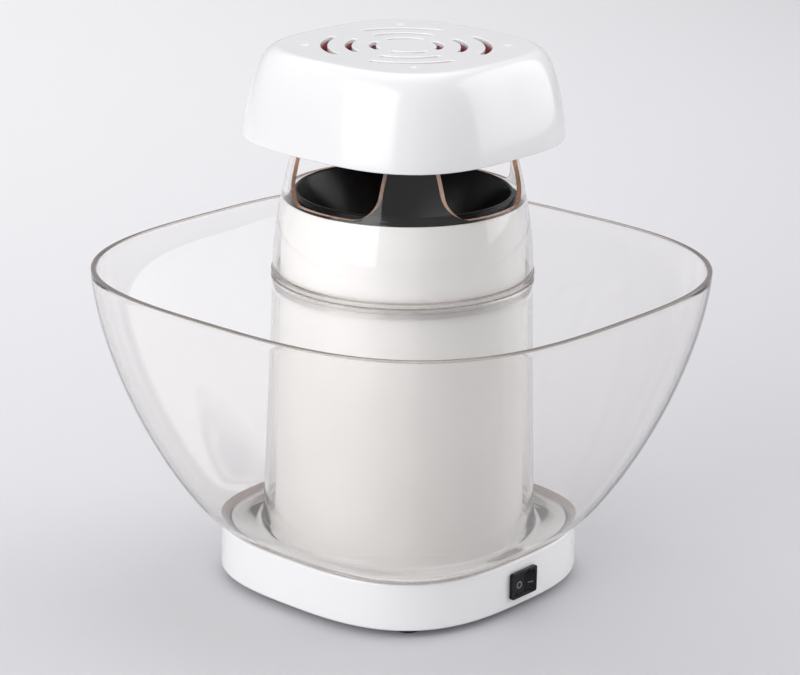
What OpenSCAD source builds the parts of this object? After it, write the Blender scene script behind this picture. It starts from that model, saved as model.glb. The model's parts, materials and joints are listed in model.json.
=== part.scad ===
// Hot-air popcorn maker with a clear serving bowl around its popping tower.
// The base, with the fan, heater and popping chamber, carries three lift-off parts: bowl, hood and lid.
// Origin: centre of the underside of the feet. +Z up, -Y is the side with the switch, +Y the cord side.
// Millimetres.

/* [Base] */
// Half width of the base across its flat sides
base_half = 89.4; // [88.8:0.1:90]
// Height of the top edge of the base
base_top_z = 30.7; // [30.5:0.1:31]
// Height of the feet under the base
foot_h = 4; // [3.5:0.1:4.2]
// Wall thickness of the white mouldings
shell_wall = 2.5; // [2.3:0.1:2.7]

/* [Bowl] */
// Half width of the bowl's rim across its flat sides
bowl_half = 151.1; // [146:0.1:155]
// Height of the bowl's rim
bowl_rim_z = 178.9; // [176:0.1:185]
// Thickness of the bowl's clear wall
bowl_wall = 2.6; // [2:0.1:3]

/* [Hood] */
// Height of the seam between bowl and hood
seam_z = 174.4; // [173:0.1:176]
// Radius of the clear tower just above the seam
tower_r = 71.2; // [71:0.1:72]
// Height of the hood's top edge
hood_top_z = 262; // [260:0.5:264]
// Thickness of the hood's clear wall
hood_wall = 2; // [1.8:0.1:2.2]
// Width of each of the four windows
window_w = 61.8; // [56:0.2:64]
// Height of the windows' sills
window_sill_z = 219.2; // [218:0.1:222]
// Radius of the windows' lower corners
window_corner_r = 13; // [8:0.5:15]

/* [Lid] */
// Overall height of the object
total_h = 300; // [298:0.5:304]
// Height of the lid's lower edge
lid_bottom_z = 251; // [249:0.5:252]
// Half width of the lid's lower edge across its flat sides
lid_half = 77.6; // [76:0.1:80]
// Half width of the lid's flat top across its flat sides
lid_top_half = 60.1; // [59:0.1:62]
// Width of the steam slots
slot_w = 3.6; // [3:0.1:4]
// Angle that each steam slot covers
slot_sweep = 56; // [48:1:60]

/* [Popping chamber] */
// Inner radius of the popping cup
cup_r = 41; // [40:0.5:42]
// Height of the cup's floor
cup_floor_z = 122; // [121:0.5:124]
// Height of the chamber's rim
chamber_rim_z = 221; // [220:0.5:222]

/* [Drive] */
// Radius of the motor's can
motor_r = 17.9; // [17:0.1:18.5]
// Radius of the motor's shaft
shaft_r = 1.585; // [1.5:0.005:1.6]
// Radius of the fan
fan_r = 44; // [40:0.5:46]
// Number of fan blades
fan_blades = 14; // [10:1:18]

/* [Switch] */
// Width of the switch's bezel
switch_w = 21; // [20.5:0.5:22]
// Height of the switch's bezel
switch_h = 15; // [14.5:0.5:16]
// Height of the switch's centre
switch_z = 17; // [16.5:0.5:17.5]
// Tilt of the rocker each side of its middle position
rocker_tilt = 11; // [8:0.5:12]

/* [Hidden] */
$fn = 96;
// Sides of the rounded-square lofts
K = 64;
EPS = 0.01;
// Exponents of the rounded squares: 2 is a circle, larger is squarer
base_n = 2.86;
bowl_low_n = 3.3;
bowl_rim_n = 3;
lid_n = 3;

// Base shell
recess_z = base_top_z - 3;
plate_z = recess_z - shell_wall;
recess_half = base_half - 2.3;
inner_half = base_half - 2.7;
plate_hole_r = 56;
cover_z = foot_h + 0.6;
cover_top_z = cover_z + 2.4;
foot_r = 8;
foot_at = 84.5;
cover_screw_at = 70;
column_screw_at = 62.2;
gland_z = 15;
gland_bore_r = 3.6;

// Column of the white housing
column_foot_r = 69;
column_top_z = 217;
ledge_z = 215.3;
post_at = 60;
post_angles = [45, 165, 285];

// Blower, motor and heater, from below
bracket_z = 58;
blower_z = 60;
blower_top_z = 90;
blower_r = 57;
can_r = 50.6;
can_top_z = 194;
motor_bottom_z = 13;
motor_screw_at = 12.5;
bracket_screw_at = 36;
fan_z = 66;
fan_plate_z = 82;
coil_z = 106;
coil_rings = [17, 24, 31, 38];
coil_r = 2;

// Lid
liner_z = hood_top_z + 0.3;
liner_top_z = 284;
lid_wall = 2.4;
lid_boss_at = 54.2;
lid_boss_r = 3.6;
slot_radii = [18, 31, 44];
lid_shoulder = 1.3;
lid_roundness = 0.42;
skirt_h = 6;

// Bowl: its profile rises steeply at first and levels out near the rim
bowl_foot_z = recess_z + 0.3;
bowl_foot_half = 84.1;
flare_z = bowl_foot_z + 3.3;
bowl_rise = 1.51;
bowl_bulge = 0.797;
blend_h = 8;
stem_wall = 2.2;
stem_flare = 4.2;
stem_length = 140;
bead_out = 0.7;

// Hood
hood_taper = 17.6;
hood_taper_h = 89;
hood_taper_power = 1.75;
spigot_l = 6;

// Switch
bezel_y = -base_half - 0.25;
bezel_t = 2;
pivot_y = bezel_y - bezel_t + 2.2;
pin_r = 1.2;
opening_w = 19;
opening_h = 13;

// ---- Curves ----

// Point i of K on a rounded square of half width s and exponent n
function corner_point(s, n, i) =
  let (c = cos(360 * i / K), d = sin(360 * i / K), r = s / pow(pow(abs(c), n) + pow(abs(d), n), 1 / n))
  [r * c, r * d];

// Half width of the bowl's outside at height z
function bowl_s(z) =
  let (t = (z - bowl_foot_z) / (bowl_rim_z - bowl_foot_z))
  bowl_foot_half + (bowl_half - bowl_foot_half) * pow(1 - pow(1 - min(t, 1), bowl_rise), bowl_bulge);

// Exponent of the bowl's outline at height z: the base's own at the foot, soon squarer, rounder to the rim
function bowl_n(z) =
  let (up = (z - flare_z) / (bowl_rim_z - flare_z), low = max(0, 1 - (z - flare_z) / blend_h))
  bowl_low_n + (bowl_rim_n - bowl_low_n) * up - (bowl_low_n - base_n) * 0.8 * pow(low, 2);

// Ring of the bowl's wall at height z, set inwards by depth d along the wall's normal
function bowl_ring(z, d) =
  let (ds = bowl_s(z) - bowl_s(z - 0.5), l = norm([ds, 0.5]))
  [bowl_s(z) - d * 0.5 / l, bowl_n(z), z + d * ds / l];

// Radius of the hood's outside at height z
function hood_r(z) = tower_r - hood_taper * pow((z - seam_z - 1.6) / hood_taper_h, hood_taper_power);

// Radius of the clear column's outside at height z
function stem_r(z) = tower_r + stem_flare * pow((seam_z - z) / stem_length, 1.2);

// Half width of the lid's outside at the fraction t of its height
function lid_s(t) =
  lid_top_half + (lid_half - lid_top_half) * pow(1 - pow(t, lid_shoulder), lid_roundness);

// Radius of the white column's outside at height z
function column_r(z) = column_foot_r - 2.2 * (z - recess_z) / 150;

// ---- Building blocks ----

// Solid with its skin through rings of [half width, exponent, height], up the outside and down the inside.
// A closed list makes a ring with a hole through it, an open one ends in two flat caps.
module loft(rings, closed) {
  m = len(rings);
  last = closed ? m - 1 : m - 2;
  points = [for (s = rings, i = [0:K - 1]) [each corner_point(s[0], s[1], i), s[2]]];
  sides = [for (j = [0:last], i = [0:K - 1])
    let (k = (j + 1) % m, a = j * K + i, b = j * K + (i + 1) % K, c = k * K + (i + 1) % K, d = k * K + i)
    each [[a, c, b], [a, d, c]]];
  caps = closed ? [] : [[for (i = [0:K - 1]) i], [for (i = [0:K - 1]) m * K - 1 - i]];
  polyhedron(points = points, faces = concat(sides, caps));
}

// Flat rounded square
module rounded_square(s, n) {
  polygon([for (i = [0:K - 1]) corner_point(s, n, i)]);
}

// Tube between two heights
module tube(r_out, r_in, z_low, z_high) {
  translate([0, 0, z_low])
    difference() {
      cylinder(r = r_out, h = z_high - z_low);
      translate([0, 0, -1])
        cylinder(r = r_in, h = z_high - z_low + 2);
    }
}

// Children at four places on the diagonals
module at_corners(r) {
  for (a = [45:90:315])
    rotate([0, 0, a])
      translate([r, 0, 0])
        children();
}

// Children at four places on the flat sides
module at_sides(r) {
  for (a = [0:90:270])
    rotate([0, 0, a])
      translate([r, 0, 0])
        children();
}

// Children at the places where the blower stands on its posts
module at_posts() {
  for (a = post_angles)
    rotate([0, 0, a])
      translate([post_at, 0, 0])
        children();
}

// Pan-head screw, its head down and its shank up from z = 0
module screw_up(r, length, head_r, head_h) {
  union() {
    cylinder(r = r, h = length);
    translate([0, 0, -head_h])
      difference() {
        cylinder(r = head_r, h = head_h);
        translate([-head_r * 0.6, -0.4, -EPS])
          cube([head_r * 1.2, 0.8, head_h * 0.5]);
        translate([-0.4, -head_r * 0.6, -EPS])
          cube([0.8, head_r * 1.2, head_h * 0.5]);
      }
  }
}

// Countersunk screw, the flat of its head at z = 0 and its shank up
module flush_screw_up(r, length, head_r) {
  difference() {
    union() {
      cylinder(r = r, h = length);
      cylinder(r1 = head_r, r2 = r, h = head_r - r);
    }
    translate([-head_r * 0.6, -0.3, -EPS])
      cube([head_r * 1.2, 0.6, 0.6]);
    translate([-0.3, -head_r * 0.6, -EPS])
      cube([0.6, head_r * 1.2, 0.6]);
  }
}

// Curved slot of the given radius, centred on angle 0, between two heights
module arc_slot(r, sweep, w, z_low, z_high) {
  translate([0, 0, z_low])
    union() {
      rotate([0, 0, -sweep / 2])
        rotate_extrude(angle = sweep)
          translate([r - w / 2, 0])
            square([w, z_high - z_low]);
      for (a = [-sweep / 2, sweep / 2])
        rotate([0, 0, a])
          translate([r, 0, 0])
            cylinder(r = w / 2, h = z_high - z_low);
    }
}

// Four groups of three curved slots, the groups centred at the angle start and every 90 degrees on
module slot_groups(start, z_low, z_high) {
  for (a = [start:90:start + 270], r = slot_radii)
    rotate([0, 0, a])
      arc_slot(r, slot_sweep, slot_w, z_low, z_high);
}

// Round wire of radius r through a list of points
module wire(path, r) {
  sides = 8;
  m = len(path);
  dirs = [for (j = [0:m - 1]) let (v = path[min(j + 1, m - 1)] - path[max(j - 1, 0)]) v / norm(v)];
  rings = [for (j = [0:m - 1])
    let (d = dirs[j], u0 = cross(d, [0.31, 0.23, 0.92]), u = u0 / norm(u0), v = cross(d, u))
    [for (i = [0:sides - 1]) path[j] + r * (cos(360 * i / sides) * u + sin(360 * i / sides) * v)]];
  points = [for (ring = rings, p = ring) p];
  skin = [for (j = [0:m - 2], i = [0:sides - 1])
    let (a = j * sides + i, b = j * sides + (i + 1) % sides)
    each [[a, b + sides, b], [a, a + sides, b + sides]]];
  ends = [[for (i = [0:sides - 1]) i], [for (i = [0:sides - 1]) m * sides - 1 - i]];
  polyhedron(points = points, faces = concat(skin, ends));
}

// ---- Base ----

// White base: outer wall, recess for the bowl's foot, plate under the column and screw bosses
module base_shell() {
  rings = [
    [base_half - 1.1, base_n, foot_h],
    [base_half - 0.2, base_n, foot_h + 0.4],
    [base_half + 0.2, base_n, foot_h + 1.6],
    [base_half - 0.2, base_n, base_top_z - 1.1],
    [base_half - 0.5, base_n, base_top_z - 0.3],
    [base_half - 1.1, base_n, base_top_z],
    [base_half - 1.7, base_n, base_top_z],
    [recess_half + 0.1, base_n, base_top_z - 0.4],
    [recess_half, base_n, recess_z],
    [column_foot_r + 3, 2, recess_z],
    [plate_hole_r, 2, recess_z],
    [plate_hole_r, 2, plate_z],
    [column_foot_r + 3, 2, plate_z],
    [inner_half, base_n, plate_z],
    [inner_half, base_n, foot_h]
  ];
  color("white")
    difference() {
      union() {
        loft(rings, true);
        at_corners(cover_screw_at)
          translate([0, 0, cover_top_z])
            cylinder(r = 4, h = plate_z + 1 - cover_top_z);
      }
      at_corners(cover_screw_at)
        translate([0, 0, cover_top_z - EPS])
          cylinder(r = 1.5, h = 12);
      at_sides(column_screw_at)
        translate([0, 0, plate_z - 1])
          cylinder(r = 1.8, h = shell_wall + 2);
      translate([-opening_w / 2, -base_half - 1, switch_z - opening_h / 2])
        cube([opening_w, 5, opening_h]);
      translate([0, base_half - 5, gland_z])
        rotate([-90, 0, 0])
          cylinder(r = 6, h = 7);
    }
}

// Plate that closes the base from below, with the fan's air intake
module bottom_cover() {
  color("white")
    union() {
      difference() {
        translate([0, 0, cover_z])
          linear_extrude(height = cover_top_z - cover_z)
            rounded_square(inner_half - 0.3, base_n);
        for (a = [0:60:300], r = [10, 17, 24, 31, 38])
          rotate([0, 0, a])
            arc_slot(r, 44 - 100 / r, 3, cover_z - 1, cover_top_z + 1);
        at_corners(cover_screw_at)
          translate([0, 0, cover_z - 1])
            cylinder(r = 1.7, h = 5);
      }
      for (x = [40, 64])
        translate([x, 0, cover_top_z - 0.5])
          cylinder(r = 2.5, h = 5.5);
    }
}

module rubber_feet() {
  color("black")
    at_corners(foot_at)
      rotate_extrude()
        polygon([[0, 0], [foot_r - 0.8, 0], [foot_r, 0.8], [foot_r - 0.4, cover_z], [0, cover_z]]);
}

module cover_screws() {
  color("silver")
    at_corners(cover_screw_at)
      translate([0, 0, cover_z])
        screw_up(1.5, 12, 3, 1.8);
}

// ---- Switch ----

// Black snap-in housing with its bezel, its pocket and the holes of the rocker's pins
module switch_body() {
  pocket_w = 17.4;
  pocket_h = 11.2;
  color("black")
    difference() {
      union() {
        translate([0, bezel_y, switch_z])
          rotate([90, 0, 0])
            linear_extrude(height = bezel_t)
              bezel_outline();
        translate([-opening_w / 2 + 0.1, bezel_y, switch_z - opening_h / 2 + 0.1])
          cube([opening_w - 0.2, 12.5, opening_h - 0.2]);
      }
      translate([-pocket_w / 2, bezel_y - bezel_t - 1, switch_z - pocket_h / 2])
        cube([pocket_w, 8.6, pocket_h]);
      translate([0, pivot_y, switch_z - 6])
        cylinder(r = pin_r + 0.05, h = 12);
    }
}

// Bezel outline with rounded corners
module bezel_outline() {
  r = 1.4;
  union() {
    square([switch_w - 2 * r, switch_h], center = true);
    square([switch_w, switch_h - 2 * r], center = true);
    for (x = [-1, 1], y = [-1, 1])
      translate([x * (switch_w / 2 - r), y * (switch_h / 2 - r)])
        circle(r = r);
  }
}

// Rocker on its two pins, its left-hand side, off, pressed in
module switch_rocker() {
  top = 3.3;
  color("black")
    translate([0, pivot_y, switch_z])
      rotate([0, 0, -rocker_tilt])
        union() {
          translate([0, 0, -5.3])
            linear_extrude(height = 10.6)
              polygon([[-7.7, -top], [0, 1.2 - top], [7.7, -top], [6.8, 0.6], [2, 2], [-2, 2],
                [-6.8, 0.6]]);
          translate([0, 0, -5.9])
            cylinder(r = pin_r, h = 11.8);
        }
}

module switch_terminals() {
  color("gold")
    for (x = [-4, 4])
      translate([x - 0.4, bezel_y + 12.5, switch_z - 2.4])
        cube([0.8, 8, 4.8]);
}

// ---- Cord inlet ----

// Bush that grips the supply cord where it goes through the back wall
module cord_gland() {
  color("black")
    translate([0, base_half + 0.3, gland_z])
      rotate([-90, 0, 0])
        difference() {
          union() {
            rotate_extrude()
              polygon([[0, 0], [8, 0], [8, 1.6], [7, 2.6], [0, 2.6]]);
            translate([0, 0, -6])
              cylinder(r = 5.9, h = 7);
            translate([0, 0, -6])
              cylinder(r = 7.5, h = 2.8);
          }
          translate([0, 0, -7])
            cylinder(r = gland_bore_r, h = 12);
        }
}

// ---- Housing and popping chamber ----

// White column that stands on the base, holds the chamber by its rim and carries the blower on posts
module housing_column() {
  outer = [for (z = [recess_z, 90, 178]) [column_r(z), z]];
  top_z = column_top_z;
  shoulder = [[66.1, 200], [65.3, 209], [64.6, 214], [64.2, 216.2], [63.8, top_z], [63.2, top_z]];
  ledge = [[63.2, ledge_z], [57.4, ledge_z], [57.4, ledge_z - 2], [61.6, ledge_z - 6]];
  inner = [for (z = [200, 178, 90, recess_z]) [column_r(z) - shell_wall, z]];
  color("white")
    difference() {
      union() {
        rotate_extrude()
          polygon(concat(outer, shoulder, ledge, inner));
        at_sides(column_screw_at)
          translate([0, 0, recess_z])
            cylinder(r = 4, h = 18);
        for (a = [0:90:270])
          rotate([0, 0, a])
            translate([column_screw_at + 2, -1, recess_z])
              cube([3, 2, 18]);
        at_posts() {
          translate([0, 0, recess_z])
            cylinder(r = 4, h = blower_z - recess_z);
          translate([2, -1, recess_z])
            cube([4.8, 2, blower_z - recess_z]);
        }
      }
      at_sides(column_screw_at)
        translate([0, 0, recess_z - EPS])
          cylinder(r = 1.5, h = 14);
      at_posts()
        translate([0, 0, blower_z - 12])
          cylinder(r = 1.5, h = 13);
    }
}

module column_screws() {
  color("silver")
    at_sides(column_screw_at)
      translate([0, 0, plate_z])
        screw_up(1.5, 14, 3.2, 1.8);
}

// Black non-stick chamber: rim, funnel and cup, with air slits low in the cup's wall
module popping_chamber() {
  t = 1.2;
  rim_r = 59.5;
  flange_r = 62.9;
  flange_z = ledge_z + 0.7;
  funnel_z = 176;
  floor_z = cup_floor_z;
  rim_z = chamber_rim_z;
  outside = [[0, floor_z + 3.4], [18, floor_z - 0.6], [cup_r - 4, floor_z - t], [cup_r + t, floor_z + 3],
    [cup_r + t, funnel_z + 0.3], [57, flange_z], [flange_r, flange_z], [flange_r, flange_z + t]];
  inside = [[rim_r + 0.3, flange_z + t], [rim_r, rim_z - 0.4], [rim_r - 0.4, rim_z], [rim_r - 1.1, rim_z],
    [rim_r - 1.6, rim_z - 0.6], [cup_r, funnel_z], [cup_r, floor_z + 3.4], [cup_r - 4.4, floor_z],
    [18, floor_z + 0.6], [0, floor_z + 4.6]];
  color([0.06, 0.06, 0.07])
    difference() {
      rotate_extrude()
        polygon(concat(outside, inside));
      for (a = [0:15:345])
        rotate([0, 0, a])
          translate([cup_r - 1, 0, cup_floor_z + 6])
            rotate([25, 0, 0])
              translate([0, -0.8, 0])
                cube([4, 1.6, 9]);
    }
}

module chamber_gasket() {
  color("dimgray")
    tube(62.6, 58.2, ledge_z, ledge_z + 0.7);
}

// ---- Heater ----

// Steel can that leads the hot air round the cup
module heater_can() {
  color("silver")
    difference() {
      rotate_extrude()
        polygon([[can_r - 0.6, blower_top_z], [blower_r, blower_top_z], [blower_r, blower_top_z + 0.8],
          [can_r, blower_top_z + 0.8], [can_r, can_top_z], [can_r - 0.6, can_top_z]]);
      translate([-can_r - 2, 0, 150])
        rotate([0, 90, 0])
          cylinder(r = 4, h = 4);
    }
}

// Two crossed mica boards, with the holes that the coil runs through
module mica_frame() {
  reach = can_r - 0.8;
  color("tan")
    difference() {
      union() {
        translate([-reach, -0.4, 93])
          cube([2 * reach, 0.8, 24]);
        translate([-0.4, -reach, 93])
          cube([0.8, 2 * reach, 24]);
      }
      for (a = [0:90:270], r = coil_rings)
        rotate([0, 0, a])
          translate([r, 2, coil_z])
            rotate([90, 0, 0])
              cylinder(r = coil_r + 0.1, h = 4);
    }
}

// Coiled resistance wire, as rings of the coil's outer diameter
module heater_coil() {
  color("darkgray")
    for (r = coil_rings)
      rotate_extrude()
        translate([r, coil_z])
          circle(r = coil_r);
}

module coil_terminals() {
  color("gold")
    for (y = [-1, 1])
      translate([44, y * 0.4 + (y > 0 ? 0 : -0.6), 97])
        cube([5, 0.6, 6]);
}

// Disc thermostat on the can's wall
module thermostat() {
  color("ivory")
    translate([-can_r, 0, 150])
      rotate([0, -90, 0])
        union() {
          translate([0, 0, 0.3])
            cylinder(r = 8, h = 4.2);
          translate([0, 0, 4.5])
            cylinder(r = 6.4, h = 3);
          translate([0, 0, -0.6])
            cylinder(r = 4, h = 1.2);
          for (y = [-3.5, 3.5])
            translate([-1.6, y - 0.4, 7])
              cube([3.2, 0.8, 5]);
        }
}

module thermal_fuse() {
  color("silver")
    translate([can_r + 2, 0, 122])
      union() {
        cylinder(r = 1.95, h = 11);
        translate([0, 0, -9])
          cylinder(r = 0.5, h = 29);
      }
}

// ---- Blower ----

// Drum around the fan, open at its top and with the intake in its floor
module blower_housing() {
  color("ivory")
    difference() {
      union() {
        tube(blower_r, 30, blower_z, blower_z + 2);
        tube(blower_r, blower_r - 2, blower_z, blower_top_z);
        at_posts()
          translate([0, 0, blower_z])
            cylinder(r = 4, h = 2);
      }
      at_posts()
        translate([0, 0, blower_z - 1])
          cylinder(r = 1.7, h = 4);
      at_posts()
        translate([0, 0, blower_z + 2])
          cylinder(r = 4.2, h = 12);
      for (a = [0:120:240])
        rotate([0, 0, a])
          translate([bracket_screw_at, 0, blower_z - 1])
            cylinder(r = 1.3, h = 4);
    }
}

module blower_screws() {
  color("silver")
    at_posts()
      translate([0, 0, blower_z + 2])
        mirror([0, 0, 1])
          screw_up(1.5, 12, 3, 1.8);
}

// Three-armed plate that hangs the motor in the middle of the intake
module motor_bracket() {
  color("silver")
    difference() {
      union() {
        translate([0, 0, bracket_z])
          cylinder(r = motor_r + 1, h = 2);
        for (a = [0:120:240])
          rotate([0, 0, a]) {
            translate([0, -5, bracket_z])
              cube([bracket_screw_at, 10, 2]);
            translate([bracket_screw_at, 0, bracket_z])
              cylinder(r = 5, h = 2);
          }
      }
      translate([0, 0, bracket_z - 1])
        cylinder(r = 6.6, h = 4);
      for (a = [0:120:240])
        rotate([0, 0, a])
          translate([bracket_screw_at, 0, bracket_z - 1])
            cylinder(r = 1.7, h = 4);
      for (x = [-motor_screw_at, motor_screw_at])
        translate([x, 0, bracket_z - 1])
          cylinder(r = 1.7, h = 4);
    }
}

module bracket_screws() {
  color("silver")
    for (a = [0:120:240])
      rotate([0, 0, a])
        translate([bracket_screw_at, 0, bracket_z])
          screw_up(1.3, 4, 2.8, 1.6);
}

// ---- Motor ----

module motor_can() {
  color("silver")
    difference() {
      rotate_extrude()
        polygon([[motor_r - 1, motor_bottom_z], [motor_r, motor_bottom_z], [motor_r, bracket_z - 0.8],
          [motor_r - 0.8, bracket_z], [6.5, bracket_z], [6.5, bracket_z + 4], [3.5, bracket_z + 4],
          [3.5, bracket_z - 1], [motor_r - 1, bracket_z - 1]]);
      for (x = [-motor_screw_at, motor_screw_at])
        translate([x, 0, bracket_z - 2])
          cylinder(r = 1.5, h = 3);
    }
}

module motor_end_cap() {
  color("white")
    rotate_extrude()
      polygon([[3.5, 9], [7, 9], [7, 10.5], [motor_r, 10.5], [motor_r, motor_bottom_z],
        [motor_r - 1.1, motor_bottom_z], [motor_r - 1.1, motor_bottom_z + 2], [3.5, motor_bottom_z + 2]]);
}

module motor_magnets() {
  color("dimgray")
    for (a = [-65, 115])
      rotate([0, 0, a])
        rotate_extrude(angle = 130)
          translate([motor_r - 5, 24])
            square([3.9, 28]);
}

// Sintered bushes that carry the shaft, one in each end of the motor
module motor_bushes() {
  color("goldenrod") {
    tube(3.5, shaft_r + 0.04, bracket_z - 1, bracket_z + 4);
    tube(3.5, shaft_r + 0.04, 9, motor_bottom_z + 2);
  }
}

module motor_screws() {
  color("silver")
    for (x = [-motor_screw_at, motor_screw_at])
      translate([x, 0, bracket_z + 2])
        mirror([0, 0, 1])
          screw_up(1.5, 5.5, 2.7, 1.8);
}

module motor_shaft() {
  color("silver")
    translate([0, 0, 9.5])
      cylinder(r = shaft_r, h = fan_plate_z - 8);
}

// Wound three-pole armature
module armature() {
  color("chocolate")
    difference() {
      union() {
        for (a = [0:120:240])
          rotate([0, 0, a])
            intersection() {
              translate([0, 0, 26])
                cylinder(r = 12.2, h = 24);
              translate([0, -7.5, 26])
                cube([13, 15, 24]);
            }
        translate([0, 0, 23])
          cylinder(r = 8, h = 30);
      }
      translate([0, 0, 22])
        cylinder(r = shaft_r, h = 32);
    }
}

module commutator() {
  color("peru")
    difference() {
      tube(4.5, shaft_r, 16, 22.5);
      for (a = [0:120:240])
        rotate([0, 0, a + 60])
          translate([3.8, -0.3, 15])
            cube([2, 0.6, 9]);
    }
}

// Centrifugal fan: back plate on top, blades hanging below it, pressed on the shaft by its hub
module fan_impeller() {
  color("aliceblue")
    difference() {
      union() {
        translate([0, 0, fan_plate_z])
          cylinder(r = fan_r, h = 1.5);
        translate([0, 0, fan_z])
          cylinder(r = 6, h = fan_plate_z + 3 - fan_z);
        for (i = [0:fan_blades - 1])
          rotate([0, 0, 360 * i / fan_blades])
            translate([22, 0, fan_z])
              rotate([0, 0, -30])
                cube([23, 1.2, fan_plate_z - fan_z + 0.5]);
      }
      translate([0, 0, fan_z - 1])
        cylinder(r = shaft_r, h = 30);
      tube(fan_r + 10, fan_r, fan_z - 1, fan_plate_z + 3);
    }
}

// ---- Electrics on the bottom cover ----

module rectifier_board() {
  color("darkgreen")
    translate([36, -12, cover_top_z + 5])
      cube([32, 24, 1.6]);
}

module rectifier_diodes() {
  color("black")
    for (x = [42, 58], y = [-5, 5])
      translate([x - 2.6, y, cover_top_z + 8])
        rotate([0, 90, 0])
          cylinder(r = 1.4, h = 5.2);
}

module noise_capacitor() {
  color("gold")
    translate([-66, -9, cover_top_z])
      difference() {
        cube([12, 18, 14]);
        translate([-1, -1, 12.8])
          rotate([0, -45, 0])
            cube([2, 20, 4]);
      }
}

// Internal leads: switch to thermostat, thermal fuse to heater, board to motor
module wiring() {
  paths = [
    [[-4, -68.6, 17], [-5, -65, 18], [-12, -56, 21], [-24, -46, 24], [-34, -38, 31], [-44, -37, 44],
      [-50, -36, 58], [-50, -36, 92], [-57, -20, 120], [-60.2, -5, 136], [-60.2, -3.5, 142],
      [-60.2, -3.5, 148.3]],
    [[4, -68.6, 17], [5, -65, 18], [14, -56, 21], [28, -43, 24], [36, -36, 31], [42, -40, 44],
      [48, -38.5, 58], [48, -38.5, 92], [56, -20, 100], [53.6, -5, 106], [52.6, 0, 110], [52.6, 0, 112.9]],
    [[40, 8, 14.7], [34, 10, 17], [28, 8, 16], [21, 6, 9.6], [14, 4, 9.4]],
    [[40, -8, 14.7], [34, -10, 17], [28, -8, 16], [21, -6, 9.6], [14, -4, 9.4]]
  ];
  color("firebrick")
    for (path = paths)
      wire(path, 1);
}

// ---- Bowl ----

// Clear bowl, one moulding: foot in the base's recess, flared rounded-square wall, floor and central column
module bowl() {
  heights = [flare_z, 34, 37.5, 42, 48, 56, 66, 78, 92, 108, 125, 142, 158, 170, bowl_rim_z - 1.3];
  stem_heights = [36, 60, 90, 120, 146, seam_z - 3];
  foot = [
    [recess_half - 4.5, base_n, bowl_foot_z],
    [recess_half - 2.7, base_n, bowl_foot_z + 0.3],
    [recess_half - 1.5, base_n, bowl_foot_z + 1.2],
    [recess_half - 1.1, base_n, bowl_foot_z + 2.3]
  ];
  outside = [for (z = heights) bowl_ring(z, 0)];
  rim = [for (a = [30:40:150])
    [bowl_half - bowl_wall / 2 + bowl_wall / 2 * cos(a), bowl_rim_n,
      bowl_rim_z - bowl_wall / 2 + bowl_wall / 2 * sin(a)]];
  inside = [for (i = [len(heights) - 1:-1:0]) bowl_ring(heights[i], bowl_wall)];
  floor_rings = [
    [83.5, 2.8, bowl_foot_z + 3.4],
    [79, 2.2, bowl_foot_z + 2.6],
    [76.8, 2, bowl_foot_z + 3.4]
  ];
  stem_out = [for (z = stem_heights) [stem_r(z), 2, z]];
  bead = [
    [tower_r + bead_out, 2, seam_z - 2.6],
    [tower_r + bead_out, 2, seam_z - 0.3],
    [tower_r + 0.4, 2, seam_z],
    [tower_r - 1.9, 2, seam_z]
  ];
  stem_down = [for (i = [len(stem_heights) - 2:-1:0]) stem_heights[i]];
  stem_in = [for (z = stem_down) [stem_r(z) - stem_wall, 2, z]];
  lip = [[stem_r(36) - 2, 2, bowl_foot_z]];
  color([0.85, 0.85, 0.84, 0.35])
    loft(concat(foot, outside, rim, inside, floor_rings, stem_out, bead, stem_in, lip), true);
}

// ---- Hood ----

// Outline of a window, its rounded lower corners at the sill
module window_outline(top_z) {
  h = top_z - window_sill_z;
  r = window_corner_r;
  union() {
    translate([-window_w / 2, window_sill_z + r])
      square([window_w, h - r - 6]);
    translate([-window_w / 2 + r, window_sill_z])
      square([window_w - 2 * r, h]);
    for (x = [-1, 1]) {
      translate([x * (window_w / 2 - r), window_sill_z + r])
        circle(r = r);
      translate([x * (window_w / 2 - r), top_z - r + 4])
        circle(r = r - 4);
    }
  }
}

// Clear hood: spigot in the bowl's column, bead, tapering wall and four windows
module hood() {
  spigot_r = tower_r - 2.4;
  heights = [seam_z + 3.2, 185, 193, 201, 209, 217, 225, 233, 241, 249, 256, hood_top_z - 0.6];
  outside = [for (z = heights) [hood_r(z), z]];
  inside = [for (i = [len(heights) - 1:-1:0]) [hood_r(heights[i]) - hood_wall, heights[i]]];
  foot = [
    [spigot_r - 1.2, seam_z - spigot_l],
    [spigot_r - 0.3, seam_z - spigot_l],
    [spigot_r, seam_z - 5.5],
    [spigot_r, seam_z + 0.3],
    [tower_r + 0.4, seam_z + 0.3],
    [tower_r + bead_out, seam_z + 0.6],
    [tower_r + bead_out, seam_z + 2.8]
  ];
  top = [[hood_r(hood_top_z) - 0.5, hood_top_z], [hood_r(hood_top_z) - hood_wall + 0.5, hood_top_z]];
  color([0.85, 0.85, 0.84, 0.35])
    difference() {
      rotate_extrude()
        polygon(concat(foot, outside, top, inside, [[spigot_r - 1.2, seam_z + 1.2]]));
      for (a = [0:90:270])
        rotate([0, 0, a])
          translate([0, -40, 0])
            rotate([90, 0, 0])
              linear_extrude(height = 40)
                window_outline(lid_bottom_z + 2);
    }
}

// ---- Lid ----

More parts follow.
